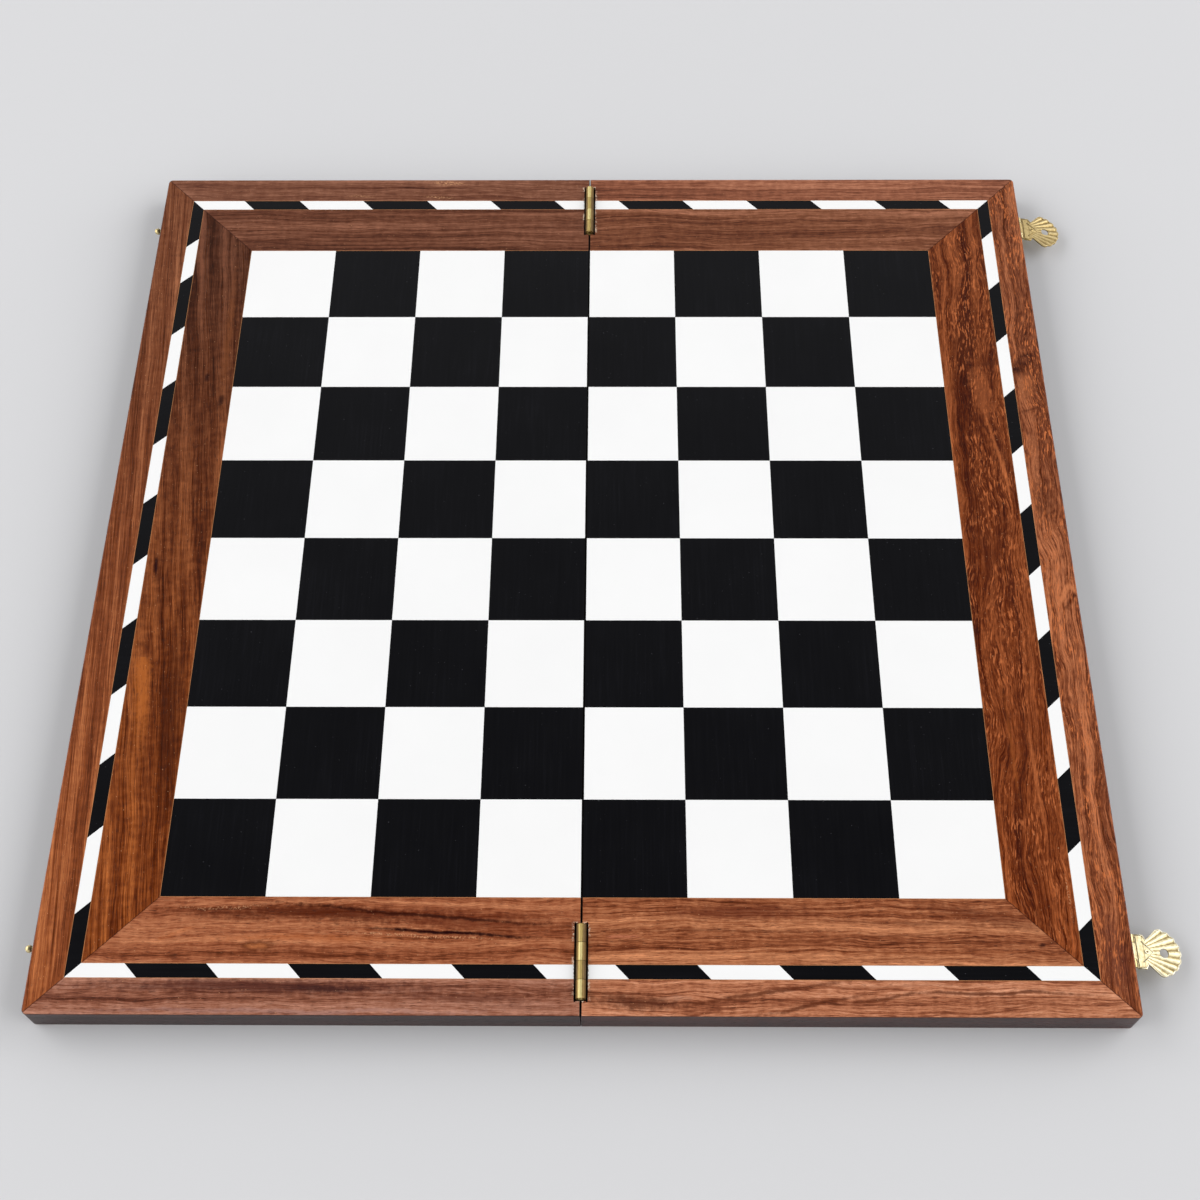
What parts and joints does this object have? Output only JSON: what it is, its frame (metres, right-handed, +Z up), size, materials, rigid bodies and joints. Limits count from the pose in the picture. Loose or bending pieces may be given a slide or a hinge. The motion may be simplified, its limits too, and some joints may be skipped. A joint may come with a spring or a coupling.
{
  "type": "folding chess board",
  "caption": "Square wooden chess board in two hinged halves with mitred rails, a slanted inlay band, barrel hinges let into the fold, and shell-shaped hasps that drop over edge knobs.",
  "frame": {"origin": "middle of the board on the underside, at the foot of the fold, where it rests on a table", "axes": "+X from the half with the knobs to the half with the hasps, +Y from front to back along the fold, +Z up out of the playing surface; shown lying open"},
  "size_m": [0.5887, 0.5542, 0.0217],
  "materials": {
    "outer_rail": "gloss lacquer over rosewood",
    "inner_rail": "gloss lacquer over rosewood",
    "dark_square": "gloss black lacquer",
    "light_square": "gloss white lacquer",
    "light_inlay": "gloss lacquer",
    "dark_inlay": "gloss lacquer",
    "core_board": "bare",
    "lipping_wood": "satin lacquer",
    "backing_veneer": "satin lacquer",
    "hinge_brass": "worn, drawn",
    "screw_brass": "turned",
    "pin_metal": "drawn",
    "catch_brass": "bright, pressed"
  },
  "bodies": {
    "left_half": {"left_core_panel": "core_board", "left_seam_lipping": "lipping_wood", "left_backing": "backing_veneer", "left_dark_squares": "dark_square", "left_light_squares": "light_square", "left_outer_rail_side": "outer_rail", "left_inner_rail_side": "inner_rail", "left_inlay_side_light": "light_inlay", "left_inlay_side_dark": "dark_inlay", "left_outer_rail_back": "outer_rail", "left_inner_rail_back": "inner_rail", "left_inlay_back_light": "light_inlay", "left_inlay_back_dark": "dark_inlay", "left_outer_rail_front": "outer_rail", "left_inner_rail_front": "inner_rail", "left_inlay_front_light": "light_inlay", "left_inlay_front_dark": "dark_inlay", "hinge_leaf_left_back": "hinge_brass", "hinge_leaf_left_front": "hinge_brass", "hinge_screws_left": "screw_brass", "hinge_pin_back": "pin_metal", "catch_knob_back": "catch_brass", "hinge_pin_front": "pin_metal", "catch_knob_front": "catch_brass"},
    "right_half": {"right_core_panel": "core_board", "right_seam_lipping": "lipping_wood", "right_backing": "backing_veneer", "right_dark_squares": "dark_square", "right_light_squares": "light_square", "right_outer_rail_side": "outer_rail", "right_inner_rail_side": "inner_rail", "right_inlay_side_light": "light_inlay", "right_inlay_side_dark": "dark_inlay", "right_outer_rail_back": "outer_rail", "right_inner_rail_back": "inner_rail", "right_inlay_back_light": "light_inlay", "right_inlay_back_dark": "dark_inlay", "right_outer_rail_front": "outer_rail", "right_inner_rail_front": "inner_rail", "right_inlay_front_light": "light_inlay", "right_inlay_front_dark": "dark_inlay", "hinge_leaf_right_back": "hinge_brass", "hinge_leaf_right_front": "hinge_brass", "hinge_screws_right": "screw_brass", "hasp_base_back": "catch_brass", "hasp_pin_back": "pin_metal", "hasp_base_front": "catch_brass", "hasp_pin_front": "pin_metal", "hasp_nails": "catch_brass"},
    "hasp_back": {"shell_hasp_back": "catch_brass"},
    "hasp_front": {"shell_hasp_front": "catch_brass"}
  },
  "joints": [
    {"name": "board_fold", "type": "hinge", "parent": "left_half", "child": "right_half", "pos_m": [0, 0, 0.0192], "axis": [0, -1, 0], "range_deg": [0, 180]},
    {"name": "hasp_back_swing", "type": "hinge", "parent": "right_half", "child": "hasp_back", "pos_m": [0.2788, 0.2409, 0.0116], "axis": [0, -1, 0], "range_deg": [-70, 102]},
    {"name": "hasp_front_swing", "type": "hinge", "parent": "right_half", "child": "hasp_front", "pos_m": [0.2788, -0.2409, 0.0116], "axis": [0, -1, 0], "range_deg": [-70, 102]}
  ]
}
